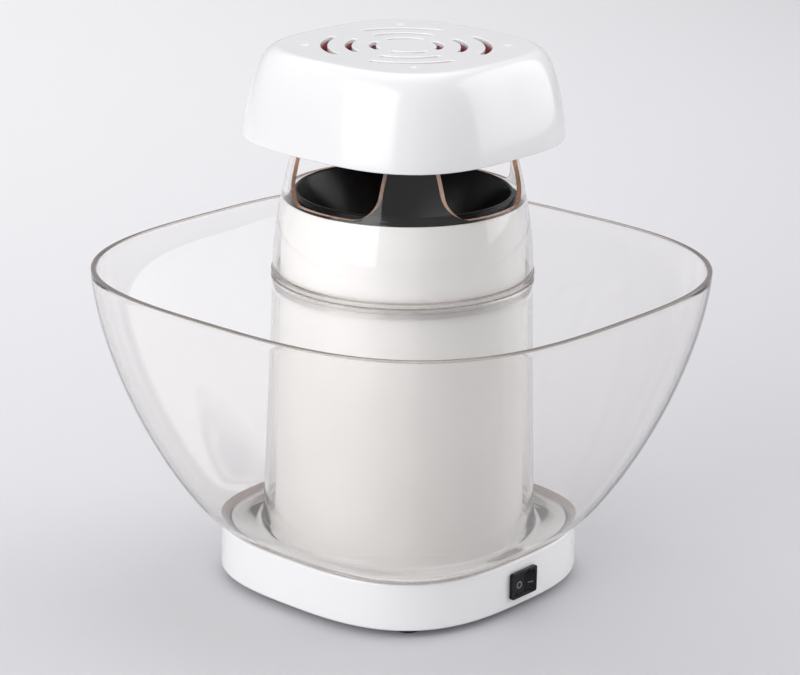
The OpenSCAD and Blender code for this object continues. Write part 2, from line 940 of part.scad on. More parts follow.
// White lid with its flared sides, steam slots, corner dimples and the bosses for the liner
module lid_cover() {
  steps = [0, 0.15, 0.3, 0.45, 0.58, 0.7, 0.79, 0.86, 0.915, 0.955, 0.985, 1];
  h = total_h - lid_bottom_z;
  outside = [for (t = steps) [lid_s(t), lid_n, lid_bottom_z + 0.7 + (h - 0.7) * t]];
  inside = [for (i = [len(steps) - 1:-1:0])
    [lid_s(steps[i]) - lid_wall, lid_n, lid_bottom_z + 0.4 + (h - lid_wall - 0.4) * steps[i]]];
  edge = [[lid_half - lid_wall + 0.4, lid_n, lid_bottom_z], [lid_half - 0.7, lid_n, lid_bottom_z]];
  color("white")
    difference() {
      union() {
        loft(concat(inside, edge, outside), false);
        at_corners(lid_boss_at)
          translate([0, 0, liner_z + 1.8])
            cylinder(r = lid_boss_r, h = total_h - 1.5 - liner_z - 1.8);
      }
      slot_groups(45, total_h - 6, total_h + 1);
      at_corners(lid_boss_at) {
        translate([0, 0, total_h - 0.5])
          cylinder(r = 2.5, h = 1);
        translate([0, 0, liner_z])
          cylinder(r = 1.3, h = 14);
      }
    }
}

// Red liner that turns the corn out through the windows and lets the steam up
module lid_liner() {
  t = 1.8;
  skirt_r = hood_r(hood_top_z) - hood_wall - 0.6;
  dome_r = 47;
  color("firebrick")
    difference() {
      rotate_extrude()
        polygon([
          [0, liner_top_z], [dome_r, liner_top_z], [49.2, liner_z + t], [62, liner_z + t], [62, liner_z],
          [skirt_r, liner_z], [skirt_r, liner_z - skirt_h], [skirt_r - 1.6, liner_z - skirt_h],
          [skirt_r - 1.6, liner_z - 1],
          [47.6, liner_z], [dome_r - 1.6, liner_top_z - t], [0, liner_top_z - t]
        ]);
      slot_groups(0, liner_top_z - 5, liner_top_z + 1);
      at_corners(lid_boss_at) {
        translate([0, 0, liner_z - 1])
          cylinder(r = 1.4, h = 4);
        translate([0, 0, liner_z - EPS])
          cylinder(r1 = 2.8, r2 = 1.4, h = 1.4);
      }
    }
}

module lid_screws() {
  color("silver")
    at_corners(lid_boss_at)
      translate([0, 0, liner_z])
        flush_screw_up(1.3, 10, 2.6);
}

base_shell();
bottom_cover();
rubber_feet();
cover_screws();
switch_body();
switch_rocker();
switch_terminals();
cord_gland();
housing_column();
column_screws();
popping_chamber();
chamber_gasket();
heater_can();
mica_frame();
heater_coil();
coil_terminals();
thermostat();
thermal_fuse();
blower_housing();
blower_screws();
motor_bracket();
bracket_screws();
motor_can();
motor_end_cap();
motor_magnets();
motor_bushes();
motor_screws();
motor_shaft();
armature();
commutator();
fan_impeller();
rectifier_board();
rectifier_diodes();
noise_capacitor();
wiring();
bowl();
hood();
lid_cover();
lid_liner();
lid_screws();
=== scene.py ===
"""Looks of the hot-air popcorn maker: shells, clear plastic, mouldings, light and camera on its CAD frame."""
import json
import math

import bmesh
import bpy
from mathutils import Matrix, Vector


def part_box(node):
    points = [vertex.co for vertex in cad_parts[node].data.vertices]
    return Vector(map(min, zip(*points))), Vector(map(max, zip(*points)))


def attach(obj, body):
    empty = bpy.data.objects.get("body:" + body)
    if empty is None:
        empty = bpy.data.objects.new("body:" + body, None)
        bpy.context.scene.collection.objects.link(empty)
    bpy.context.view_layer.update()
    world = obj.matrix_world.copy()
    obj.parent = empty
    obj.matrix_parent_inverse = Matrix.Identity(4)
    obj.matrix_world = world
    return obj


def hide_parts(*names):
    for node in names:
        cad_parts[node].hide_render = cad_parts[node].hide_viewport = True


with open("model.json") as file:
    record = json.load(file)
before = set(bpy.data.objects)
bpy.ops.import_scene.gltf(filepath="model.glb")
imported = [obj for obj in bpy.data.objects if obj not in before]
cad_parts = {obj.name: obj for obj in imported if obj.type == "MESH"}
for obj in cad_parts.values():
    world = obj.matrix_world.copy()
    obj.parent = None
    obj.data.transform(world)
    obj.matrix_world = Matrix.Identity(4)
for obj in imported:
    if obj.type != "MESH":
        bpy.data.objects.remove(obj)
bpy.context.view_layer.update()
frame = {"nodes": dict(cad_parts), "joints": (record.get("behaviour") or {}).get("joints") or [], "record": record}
NODES = frame["nodes"]
MM = 0.001

# ---------------------------------------------------------------- sizes, in millimetres, from the frame


def span(node):
    """Lowest and highest corner of a CAD node, in millimetres."""
    low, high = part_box(node)
    return low / MM, high / MM


def middle(node):
    """Middle of a CAD node, in millimetres."""
    low, high = span(node)
    return (low + high) / 2


base_low, base_high = span("base_shell")
bowl_low, bowl_high = span("bowl")
hood_low, hood_high = span("hood")
lid_low, lid_high = span("lid_cover")
liner_low, liner_high = span("lid_liner")

# Outlines are rounded squares of ROUND points, whose exponent N is 2 for a circle and more for a squarer one.
ROUND = 256
CIRCLE = 2.0

BASE_DRAFT = 0.2
BASE_HALF = base_high.x - BASE_DRAFT
BASE_N = 2.86
BASE_TOP = base_high.z
BASE_BOTTOM = base_low.z
BASE_LOW_EDGE = 1.6
BASE_TOP_EDGE = 1.1
BASE_RIM_EDGE = 0.6
BASE_WALL = 2.7
RECESS_HALF = BASE_HALF - 2.3
RECESS_Z = BASE_TOP - 3.0
PLATE_Z = RECESS_Z - 2.5
PLATE_FILLET = 1.3
PLATE_HOLE_R = 56.0
PLATE_ROUND_R = 72.0
SWITCH_HOLE = (19, 10, 13)
CORD_HOLE_R = 6.0
CORD_HOLE_DEPTH = 12.0

BOWL_HALF = 151.1
BOWL_FOOT_HALF = 84.1
BOWL_FOOT_Z = bowl_low.z
BOWL_RIM_Z = bowl_high.z
BOWL_WALL = 2.6
BOWL_LOW_N = 3.3
BOWL_RIM_N = 3.0
BOWL_CURVE = (1.51, 0.797)
FLARE_Z = BOWL_FOOT_Z + 3.3
STEM_LOW_Z = 36.0
STEM_WALL = 2.2

SPIGOT_H = 6.0
SPIGOT_WALL = 1.2
SEAM_Z = hood_low.z + SPIGOT_H
SEAM_BEAD = 0.7
SEAM_EDGE = 0.6
SEAM_BAND = 1.6
TOWER_R = 71.2
SPIGOT_R = TOWER_R - 2.4
BEAD_CENTRE_R = TOWER_R + SEAM_BEAD - SEAM_EDGE
HOOD_TOP = hood_high.z
HOOD_WALL = 2.0
WINDOW_W = 61.8
WINDOW_SILL = 219.2
WINDOW_CORNER = 13.0
WINDOW_TOP_CORNER = 9.0
WINDOW_TOP = lid_low.z + 2
WINDOW_CUT = (-80, -40)

LID_BOTTOM = lid_low.z
LID_TOP = lid_high.z
LID_HALF = lid_high.x
LID_TOP_HALF = 60.1
LID_N = 3.0
LID_WALL = 2.4
LID_EDGE = 0.8
LID_CURVE = (1.3, 0.42)
SLOT_RADII = (18.0, 31.0, 44.0)
SLOT_W = 3.6
SLOT_SWEEP = 56.0
SLOT_EDGE = 0.8
CORNER_TURN = 45
CORNER_AT = 54.2
BOSS_LOW_Z = liner_low.z + 8.2

LINER_FLANGE_Z = liner_low.z + 6.0
LINER_WALL = 1.8
LINER_TOP = LID_TOP - LID_WALL - 0.4
LINER_PLATE = 2.2
LINER_PLATE_R = 57.0
DOME_R = 47.0
SCREW_R = 1.4
SCREW_HEAD_R = 2.8

ROCKER_FACE = 7.7
ROCKER_FALL = 1.2
ROCKER_TURN = -11
MARK_AT = 3.9
MARK_OUT = 2.1
MARK_THICK = 0.08
CIRCLE_MARK = (2.15, 1.3)
BAR_MARK = (3.4, MARK_THICK, 0.6)


# ---------------------------------------------------------------- curves of the object


def corner_radius(half, power, angle):
    """Distance from the axis of a rounded square of that half width at an angle."""
    c, s = abs(math.cos(angle)), abs(math.sin(angle))
    return half / (c**power + s**power) ** (1 / power)


def bowl_half_at(z):
    """Half width of the bowl's outside at height z."""
    t = min(1.0, (z - BOWL_FOOT_Z) / (BOWL_RIM_Z - BOWL_FOOT_Z))
    inner, outer = BOWL_CURVE
    return BOWL_FOOT_HALF + (BOWL_HALF - BOWL_FOOT_HALF) * (1 - (1 - t) ** inner) ** outer


def bowl_power_at(z):
    """Exponent of the bowl's outline at height z: close to the base's at the foot, squarer just above it."""
    blend_height, share = 8, 0.8
    up = (z - FLARE_Z) / (BOWL_RIM_Z - FLARE_Z)
    low = max(0.0, 1 - (z - FLARE_Z) / blend_height)
    return BOWL_LOW_N + (BOWL_RIM_N - BOWL_LOW_N) * up - (BOWL_LOW_N - BASE_N) * share * low**2


def bowl_ring(z, depth):
    """Ring of the bowl's wall, set inwards by a depth along the wall's normal."""
    step = 0.5
    slope = bowl_half_at(z) - bowl_half_at(z - step)
    length = math.hypot(slope, step)
    return bowl_half_at(z) - depth * step / length, bowl_power_at(z), z + depth * slope / length


def hood_r(z):
    """Radius of the hood's outside at height z: straight at the bead, then tapering more and more."""
    straight, taper, height, bend = 1.6, 17.6, 89, 1.75
    return TOWER_R - taper * (max(0.0, z - SEAM_Z - straight) / height) ** bend


def hood_wall(z):
    """Thickness of the hood's wall at height z, a little more beside the windows."""
    thicker, sill_step, lid_step = 0.8, 1.5, 3
    above_sill = min(1.0, max(0.0, (z - WINDOW_SILL + sill_step) / sill_step))
    below_lid = min(1.0, max(0.0, (LID_BOTTOM + lid_step - z) / lid_step))
    return HOOD_WALL + thicker * above_sill * below_lid


def stem_r(z):
    """Radius of the bowl's central column at height z."""
    flare, height, bend = 4.2, 140, 1.2
    return TOWER_R + flare * (max(0.0, SEAM_Z - z) / height) ** bend


def lid_half_at(t):
    """Half width of the lid's outside at the fraction t of its height."""
    inner, outer = LID_CURVE
    return LID_TOP_HALF + (LID_HALF - LID_TOP_HALF) * (1 - t**inner) ** outer


def steps(a, b, count, bend=1.0):
    """Values from a to b, crowded towards a where bend is above 1."""
    return [a + (b - a) * (i / (count - 1)) ** bend for i in range(count)]


def arc(cx, cz, r, start, end, count, power):
    """Rings of a round edge about (cx, cz), between two angles in degrees."""
    rings = []
    for a in steps(math.radians(start), math.radians(end), count):
        rings.append((cx + r * math.cos(a), power, cz + r * math.sin(a)))
    return rings


def lid_corners():
    """Places of the lid's four corner fixings."""
    turns = [math.radians(CORNER_TURN + 90 * corner) for corner in range(4)]
    return [(CORNER_AT * math.cos(a), CORNER_AT * math.sin(a)) for a in turns]


# ---------------------------------------------------------------- meshes


def add_object(name, bm, smooth=True):
    """Object of a bmesh given in millimetres."""
    bmesh.ops.scale(bm, vec=(MM, MM, MM), verts=bm.verts)
    bmesh.ops.recalc_face_normals(bm, faces=bm.faces)
    mesh = bpy.data.meshes.new(name)
    bm.to_mesh(mesh)
    bm.free()
    if smooth:
        mesh.shade_smooth()
    obj = bpy.data.objects.new(name, mesh)
    bpy.context.scene.collection.objects.link(obj)
    return obj


def bridge(bm, low, high):
    """Band of four-sided faces between two closed rows of points."""
    for i in range(len(low)):
        k = (i + 1) % len(low)
        bm.faces.new((low[i], low[k], high[k], high[i]))


def loft(name, rings, closed):
    """Skin through rings of (half width, exponent, height), closed into a tube or capped at both ends."""
    bm = bmesh.new()
    rows = []
    for half, power, z in rings:
        row = []
        for i in range(ROUND):
            a = 2 * math.pi * i / ROUND
            r = corner_radius(half, power, a)
            row.append(bm.verts.new((r * math.cos(a), r * math.sin(a), z)))
        rows.append(row)
    for low, high in zip(rows, rows[1:]):
        bridge(bm, low, high)
    if closed:
        bridge(bm, rows[-1], rows[0])
    else:
        bm.faces.new(rows[0])
        bm.faces.new(rows[-1])
    return add_object(name, bm)


def prism(bm, outline_at, levels):
    """Solid through the same outline at several levels; outline_at(level) gives its points in space."""
    rows = [[bm.verts.new(p) for p in outline_at(level)] for level in levels]
    for low, high in zip(rows, rows[1:]):
        bridge(bm, low, high)
    bm.faces.new(list(reversed(rows[0])))
    bm.faces.new(rows[-1])


def turned(bm, profile, count, x=0.0, y=0.0):
    """Solid turned about a vertical axis at (x, y), from a profile of (radius, height) that ends on it."""
    rows = []
    for r, z in profile:
        if r <= 0:
            rows.append([bm.verts.new((x, y, z))])
            continue
        row = []
        for i in range(count):
            a = 2 * math.pi * i / count
            row.append(bm.verts.new((x + r * math.cos(a), y + r * math.sin(a), z)))
        rows.append(row)
    for low, high in zip(rows, rows[1:]):
        if len(low) == len(high):
            bridge(bm, low, high)
            continue
        for i in range(count):
            k = (i + 1) % count
            if len(low) == 1:
                bm.faces.new((low[0], high[k], high[i]))
            else:
                bm.faces.new((low[i], low[k], high[0]))


def corner_tools(name, profile, count):
    """The same turned solid at each of the lid's four corner fixings."""
    tools = []
    for x, y in lid_corners():
        bm = bmesh.new()
        turned(bm, profile, count, x, y)
        tools.append(add_object(name, bm))
    return tools


def box_matrix(centre, size):
    """Matrix that turns a unit cube into a box."""
    return Matrix.Translation(centre) @ Matrix.Diagonal((*size, 1))


def cut(obj, tools, keep_slots=False):
    """Takes the tools' volume out of obj and removes them."""
    for tool in tools:
        m = obj.modifiers.new("cut", "BOOLEAN")
        m.operation = "DIFFERENCE"
        m.solver = "EXACT"
        m.object = tool
        if keep_slots:
            m.material_mode = "INDEX"
    graph = bpy.context.evaluated_depsgraph_get()
    mesh = bpy.data.meshes.new_from_object(obj.evaluated_get(graph), depsgraph=graph)
    obj.modifiers.clear()
    obj.data = mesh
    for tool in tools:
        bpy.data.objects.remove(tool)


def smooth_by_angle(obj, degrees):
    """Smooth shading with sharp edges above an angle."""
    obj.data.shade_smooth()
    obj.data.set_sharp_from_angle(angle=math.radians(degrees))


def keep_flats_flat(obj):
    """Large faces decide the shading at their edges, so that flats stay even beside small round edges."""
    weighted = obj.modifiers.new("even_flats", "WEIGHTED_NORMAL")
    weighted.mode = "FACE_AREA"
    weighted.weight = 100
    weighted.keep_sharp = True


def end_point(r, a, radial, tangential, z):
    """Point beside the slot's end at angle a."""
    return (
        (r + radial) * math.cos(a) - tangential * math.sin(a),
        (r + radial) * math.sin(a) + tangential * math.cos(a),
        z,
    )


def slot_outline(r, centre_angle, width, z):
    """Outline of a curved slot with round ends, in a plane at height z."""
    side_points, end_points = 26, 10
    half = math.radians(SLOT_SWEEP) / 2
    first, last = centre_angle - half, centre_angle + half
    outline = []
    for side, start, end in ((width / 2, first, last), (-width / 2, last, first)):
        for a in steps(start, end, side_points):
            outline.append(((r + side) * math.cos(a), (r + side) * math.sin(a), z))
        for b in steps(0.0, math.pi, end_points)[1:-1]:
            outline.append(end_point(r, end, side * math.cos(b), side * math.sin(b), z))
    return outline


def slot_tools(top, depth):
    """Cutters for four groups of curved slots, with their upper edges rounded."""
    levels = [(top - depth, 0.0), (top - SLOT_EDGE, 0.0)]
    for a in steps(0.0, math.pi / 2, 6)[1:]:
        levels.append((top - SLOT_EDGE + SLOT_EDGE * math.sin(a), SLOT_EDGE * (1 - math.cos(a))))
    levels.append((top + 0.4, SLOT_EDGE))
    tools = []
    for group in range(4):
        for r in SLOT_RADII:
            bm = bmesh.new()
            a = math.radians(CORNER_TURN + 90 * group)
            prism(bm, lambda level, r=r, a=a: slot_outline(r, a, SLOT_W + 2 * level[1], level[0]), levels)
            tools.append(add_object("slot_tool", bm))
    return tools


# ---------------------------------------------------------------- materials

NOISE_RANGE = (0.3, 0.7)


class Shader:
    """A material's node tree with one Principled shader, and the few nodes that these finishes share."""

    def __init__(self, name, **constants):
        self.material = bpy.data.materials.new(name)
        self.material.use_nodes = True
        self.nodes = self.material.node_tree.nodes
        self.links = self.material.node_tree.links
        self.nodes.clear()
        self.out = self.nodes.new("ShaderNodeOutputMaterial")
        self.bsdf = self.nodes.new("ShaderNodeBsdfPrincipled")
        self.links.new(self.bsdf.outputs[0], self.out.inputs["Surface"])
        self.place = self.nodes.new("ShaderNodeTexCoord").outputs["Object"]
        for socket, value in constants.items():
            self.bsdf.inputs[socket.replace("_", " ")].default_value = value

    def noise(self, per_metre, detail=3.0, stretch=None):
        """Noise with that many features to the metre."""
        node = self.nodes.new("ShaderNodeTexNoise")
        node.inputs["Scale"].default_value = per_metre
        node.inputs["Detail"].default_value = detail
        place = self.place
        if stretch:
            mapping = self.nodes.new("ShaderNodeMapping")
            mapping.inputs["Scale"].default_value = stretch
            self.links.new(place, mapping.inputs["Vector"])
            place = mapping.outputs[0]
        self.links.new(place, node.inputs["Vector"])
        return node.outputs["Fac"]

    def ramp(self, value, low, high, reach=NOISE_RANGE):
        """Colour between low and high as value goes through its reach."""
        node = self.nodes.new("ShaderNodeValToRGB")
        for element, position, colour in zip(node.color_ramp.elements, reach, (low, high)):
            element.position = position
            element.color = (*colour, 1)
        self.links.new(value, node.inputs[0])
        return node.outputs[0]

    def remap(self, value, reach, result):
        """Number that goes through the result's range as value goes through its reach."""
        node = self.nodes.new("ShaderNodeMapRange")
        for socket, number in zip(("From Min", "From Max", "To Min", "To Max"), (*reach, *result)):
            node.inputs[socket].default_value = number
        self.links.new(value, node.inputs["Value"])
        return node.outputs[0]

    def spread(self, noise, low, high):
        """Number that noise spreads between low and high."""
        return self.remap(noise, NOISE_RANGE, (low, high))

    def bump(self, height, strength, depth_mm):
        """Small relief from a height."""
        node = self.nodes.new("ShaderNodeBump")
        node.inputs["Strength"].default_value = strength
        node.inputs["Distance"].default_value = depth_mm * MM
        self.links.new(height, node.inputs["Height"])
        self.links.new(node.outputs[0], self.bsdf.inputs["Normal"])

    def colour(self, output):
        """Base colour from a node."""
        self.links.new(output, self.bsdf.inputs["Base Color"])

    def roughness(self, output):
        """Roughness from a node."""
        self.links.new(output, self.bsdf.inputs["Roughness"])

    def let_lamps_through(self, share):
        """Clear plastic shadows lightly: a shadow ray meets a tinted Transparent shader."""
        path = self.nodes.new("ShaderNodeLightPath")
        clear = self.nodes.new("ShaderNodeBsdfTransparent")
        clear.inputs[0].default_value = (share, share, share, 1)
        mix = self.nodes.new("ShaderNodeMixShader")
        self.links.new(path.outputs["Is Shadow Ray"], mix.inputs[0])
        self.links.new(self.bsdf.outputs[0], mix.inputs[1])
        self.links.new(clear.outputs[0], mix.inputs[2])
        self.links.new(mix.outputs[0], self.out.inputs["Surface"])

    def tint(self, colour, density):
        """Clear plastic takes on a colour where light travels far through it."""
        volume = self.nodes.new("ShaderNodeVolumeAbsorption")
        volume.inputs["Color"].default_value = colour
        volume.inputs["Density"].default_value = density
        self.links.new(volume.outputs[0], self.out.inputs["Volume"])


def white_plastic():
    """Glossy white moulding with a thin clear skin."""
    s = Shader("white_plastic", IOR=1.5, Coat_Weight=0.45, Coat_Roughness=0.04)
    s.colour(s.ramp(s.noise(14), (0.86, 0.86, 0.87), (0.9, 0.9, 0.905)))
    s.roughness(s.spread(s.noise(60), 0.16, 0.2))
    s.bump(s.noise(500, 1), 0.03, 0.03)
    return s.material


def satin_white_plastic():
    """Duller white moulding of the inner column."""
    s = Shader("satin_white_plastic", IOR=1.5)
    s.colour(s.ramp(s.noise(20), (0.86, 0.85, 0.85), (0.9, 0.895, 0.89)))
    s.roughness(s.spread(s.noise(80), 0.32, 0.42))
    s.bump(s.noise(1600, 2), 0.08, 0.05)
    return s.material


def clear_plastic():
    """Polished clear moulding, faintly amber where it is thick."""
    s = Shader("clear_plastic", IOR=1.39, Roughness=0.0, Transmission_Weight=1.0)
    s.colour(s.ramp(s.noise(9), (0.985, 0.98, 0.975), (0.995, 0.99, 0.985)))
    s.let_lamps_through(0.93)
    s.tint((0.82, 0.5, 0.2, 1), 4)
    return s.material


def painted_rim_glint():
    """Painted glint: a grey-brown colour for the glints that rims, beads and the foot's bend of clear plastic
    show.
    """
    s = Shader("painted_rim_glint", IOR=1.44, Transmission_Weight=0.62)
    s.colour(s.ramp(s.noise(60), (0.5, 0.44, 0.4), (0.58, 0.52, 0.48)))
    s.roughness(s.spread(s.noise(400), 0.1, 0.2))
    return s.material


def painted_edge_glint():
    """Painted glint: a coppery colour for the glints that the cut edges of the windows show."""
    s = Shader("painted_edge_glint", IOR=1.44, Transmission_Weight=0.4)
    s.colour(s.ramp(s.noise(60), (0.8, 0.45, 0.28), (0.88, 0.56, 0.38)))
    s.roughness(s.spread(s.noise(400), 0.2, 0.3))
    return s.material


def non_stick():
    """Smooth black coating of the popping chamber."""
    s = Shader("non_stick", IOR=1.36, Specular_IOR_Level=0.3)
    s.colour(s.ramp(s.noise(300, 3), (0.002, 0.0015, 0.0018), (0.004, 0.003, 0.0035)))
    s.roughness(s.spread(s.noise(120), 0.2, 0.24))
    return s.material


def black_plastic():
    """Semi-gloss black moulding of the switch."""
    s = Shader("black_plastic", IOR=1.45, Specular_IOR_Level=0.25)
    s.colour(s.ramp(s.noise(300), (0.004, 0.004, 0.005), (0.008, 0.008, 0.009)))
    s.roughness(s.spread(s.noise(500), 0.22, 0.3))
    return s.material


def red_plastic():
    """Dark red moulding of the lid's liner."""
    s = Shader("red_plastic", IOR=1.48)
    s.colour(s.ramp(s.noise(70), (0.44, 0.1, 0.11), (0.53, 0.135, 0.145)))
    s.roughness(s.spread(s.noise(300), 0.35, 0.5))
    s.bump(s.noise(1800, 2), 0.1, 0.04)
    return s.material


def rubber():
    """Dull black rubber."""
    s = Shader("rubber", IOR=1.5)
    s.colour(s.ramp(s.noise(500, 5), (0.012, 0.012, 0.012), (0.035, 0.034, 0.033)))
    s.roughness(s.spread(s.noise(800), 0.6, 0.85))
    s.bump(s.noise(2600, 4), 0.35, 0.08)
    return s.material


def moulded(name, low, high, rough=0.45):
    """Plain moulded plastic, rubber or ceramic."""
    s = Shader(name, IOR=1.48)
    s.colour(s.ramp(s.noise(120, 4), low, high))
    s.roughness(s.spread(s.noise(500), rough - 0.08, rough + 0.1))
    s.bump(s.noise(2200, 3), 0.15, 0.05)
    return s.material


def metal(name, low, high, rough=0.3, grain=(1.0, 1.0, 14.0)):
    """Bright sheet, turned or plated metal with a fine grain."""
    s = Shader(name, Metallic=1.0)
    s.colour(s.ramp(s.noise(90, 5), low, high))
    s.roughness(s.spread(s.noise(160, 5, grain), rough - 0.08, rough + 0.12))
    s.bump(s.noise(500, 4, grain), 0.1, 0.02)
    return s.material


def mark_paint():
    """Dark grey paint of the switch's marks."""
    s = Shader("mark_paint", IOR=1.45)
    s.colour(s.ramp(s.noise(900, 5), (0.13, 0.13, 0.13), (0.19, 0.19, 0.19)))
    s.roughness(s.spread(s.noise(900), 0.4, 0.6))
    return s.material


MATERIALS = {
    "white_plastic": white_plastic(),
    "satin_white": satin_white_plastic(),
    "clear_plastic": clear_plastic(),
    "painted_edge_glint": painted_edge_glint(),
    "painted_rim_glint": painted_rim_glint(),
    "non_stick": non_stick(),
    "black_plastic": black_plastic(),
    "red_plastic": red_plastic(),
    "black_rubber": rubber(),
    "mark_paint": mark_paint(),
    "grey_silicone": moulded("grey_silicone", (0.1, 0.1, 0.1), (0.17, 0.17, 0.17), 0.6),
    "zinc_steel": metal("zinc_steel", (0.5, 0.51, 0.53), (0.68, 0.69, 0.71)),
    "sheet_steel": metal("sheet_steel", (0.42, 0.42, 0.43), (0.6, 0.6, 0.61), 0.35),
    "brass": metal("brass", (0.6, 0.42, 0.16), (0.78, 0.58, 0.26), 0.28),
    "mica": moulded("mica", (0.3, 0.23, 0.15), (0.55, 0.46, 0.33), 0.4),
    "resistance_wire": metal("resistance_wire", (0.16, 0.15, 0.15), (0.34, 0.32, 0.31), 0.45),
    "ceramic": moulded("ceramic", (0.74, 0.7, 0.62), (0.84, 0.81, 0.74), 0.25),
    "cream_plastic": moulded("cream_plastic", (0.62, 0.56, 0.42), (0.72, 0.66, 0.52)),
    "ferrite": moulded("ferrite", (0.05, 0.05, 0.05), (0.09, 0.09, 0.09), 0.55),
    "bronze": metal("bronze", (0.34, 0.2, 0.08), (0.52, 0.34, 0.16), 0.4),
    "copper": metal("copper", (0.42, 0.14, 0.06), (0.66, 0.3, 0.16), 0.3),
    "light_plastic": moulded("light_plastic", (0.68, 0.71, 0.73), (0.78, 0.8, 0.82), 0.4),
    "board": moulded("board", (0.02, 0.13, 0.05), (0.04, 0.24, 0.09), 0.35),
    "yellow_plastic": moulded("yellow_plastic", (0.62, 0.42, 0.05), (0.74, 0.54, 0.09), 0.35),
    "lead_sleeve": moulded("lead_sleeve", (0.28, 0.03, 0.03), (0.4, 0.06, 0.05), 0.5),
}


def paint(obj, *names):
    """Puts those materials in the object's slots, in that order."""
    obj.data.materials.clear()
    for name in names:
        obj.data.materials.append(MATERIALS[name])


def finish_piece(obj, body, slot, replaced=(), materials=None):
    """Puts a new piece on its body, gives it its finish and hides the CAD nodes it stands for."""
    paint(obj, *(materials or [slot]))
    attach(obj, body)
    if replaced:
        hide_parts(*replaced)


# ---------------------------------------------------------------- pieces that replace a plain CAD solid


def base_rings():
    """Rings of the base: up the outside, over the rim, down into the recess, back and down inside."""
    low, top = BASE_BOTTOM, BASE_TOP
    wide, narrow = BASE_HALF + BASE_DRAFT, BASE_HALF - BASE_DRAFT
    inner = BASE_HALF - BASE_WALL
    side_low, side_high = low + 2, top - 1.2
    rings = arc(wide - BASE_LOW_EDGE, low + BASE_LOW_EDGE, BASE_LOW_EDGE, -90, -2, 8, BASE_N)
    for t in steps(0.0, 1.0, 8):
        rings.append((wide + (narrow - wide) * t, BASE_N, side_low + (side_high - side_low) * t))
    rings += arc(narrow - BASE_TOP_EDGE, top - BASE_TOP_EDGE, BASE_TOP_EDGE, 2, 90, 8, BASE_N)
    rings += arc(RECESS_HALF + BASE_RIM_EDGE, top - BASE_RIM_EDGE, BASE_RIM_EDGE, 90, 178, 5, BASE_N)
    rings += [(RECESS_HALF, BASE_N, top - 1.4), (RECESS_HALF, BASE_N, RECESS_Z + 0.3)]
    rings += [(RECESS_HALF - 0.3, BASE_N, RECESS_Z), (80.0, 2.3, RECESS_Z)]
    rings += [(PLATE_ROUND_R, CIRCLE, RECESS_Z), (PLATE_HOLE_R, CIRCLE, RECESS_Z)]
    rings += [(PLATE_HOLE_R, CIRCLE, PLATE_Z), (PLATE_ROUND_R, CIRCLE, PLATE_Z)]
    rings += [(inner - PLATE_FILLET, BASE_N, PLATE_Z), (inner, BASE_N, PLATE_Z - PLATE_FILLET)]
    return rings + [(inner, BASE_N, low)]


def make_base():
    """White base with its rounded edges, bowl recess, switch opening and cord opening."""
    obj = loft("base", base_rings(), True)
    bm = bmesh.new()
    place = box_matrix((0, -BASE_HALF, middle("switch_body").z), SWITCH_HOLE)
    bmesh.ops.create_cube(bm, size=1, matrix=place)
    switch_tool = add_object("switch_tool", bm, smooth=False)
    bm = bmesh.new()
    place = Matrix.Translation((0, BASE_HALF, middle("cord_gland").z)) @ Matrix.Rotation(math.pi / 2, 4, "X")
    r, depth = CORD_HOLE_R, CORD_HOLE_DEPTH
    bmesh.ops.create_cone(bm, cap_ends=True, segments=64, radius1=r, radius2=r, depth=depth, matrix=place)
    cut(obj, [switch_tool, add_object("cord_tool", bm)])
    smooth_by_angle(obj, 35)
    finish_piece(obj, "base", "white_plastic", ["base_shell"])


def bowl_rings():
    """Rings of the bowl: foot, up the outside, over the rim, down inside, up the column and down in it."""
    foot = ((6.8, 0.0), (5.3, 0.0), (4.3, 0.6), (3.6, 1.5), (3.4, 2.3))
    rings = [(BASE_HALF - inset, BASE_N, BOWL_FOOT_Z + up) for inset, up in foot]
    edge = BOWL_WALL / 2
    heights = steps(FLARE_Z, BOWL_RIM_Z - edge, 60, 1.5)
    rings += [bowl_ring(z, 0) for z in heights]
    rings += arc(BOWL_HALF - edge, BOWL_RIM_Z - edge, edge, 15, 165, 11, BOWL_RIM_N)
    rings += [bowl_ring(z, BOWL_WALL) for z in reversed(heights)]
    floor = ((84.5, 2.9, 4.0), (82.5, 2.7, 3.1), (80.0, 2.35, 2.7), (78.2, 2.1, 2.7))
    floor += ((77.0, CIRCLE, 3.2), (76.0, CIRCLE, 5.0))
    rings += [(half, power, BOWL_FOOT_Z + up) for half, power, up in floor]
    stem = steps(STEM_LOW_Z, SEAM_Z - 2.7, 24)
    rings += [(stem_r(z), CIRCLE, z) for z in stem]
    rings += [(TOWER_R + 0.55, CIRCLE, SEAM_Z - 2.6), (TOWER_R + SEAM_BEAD, CIRCLE, SEAM_Z - 2.4)]
    rings += [(TOWER_R + SEAM_BEAD, CIRCLE, SEAM_Z - SEAM_EDGE)]
    rings += arc(BEAD_CENTRE_R, SEAM_Z - SEAM_EDGE, SEAM_EDGE, 0, 90, 6, CIRCLE)
    rings += [(TOWER_R - 1.5, CIRCLE, SEAM_Z), (TOWER_R - 1.95, CIRCLE, SEAM_Z - 0.4)]
    rings += [(stem_r(z) - STEM_WALL, CIRCLE, z) for z in reversed(stem)]
    mouth = stem_r(STEM_LOW_Z) - STEM_WALL
    return rings + [(mouth + 0.1, CIRCLE, BOWL_FOOT_Z + 1), (mouth + 0.6, CIRCLE, BOWL_FOOT_Z)]


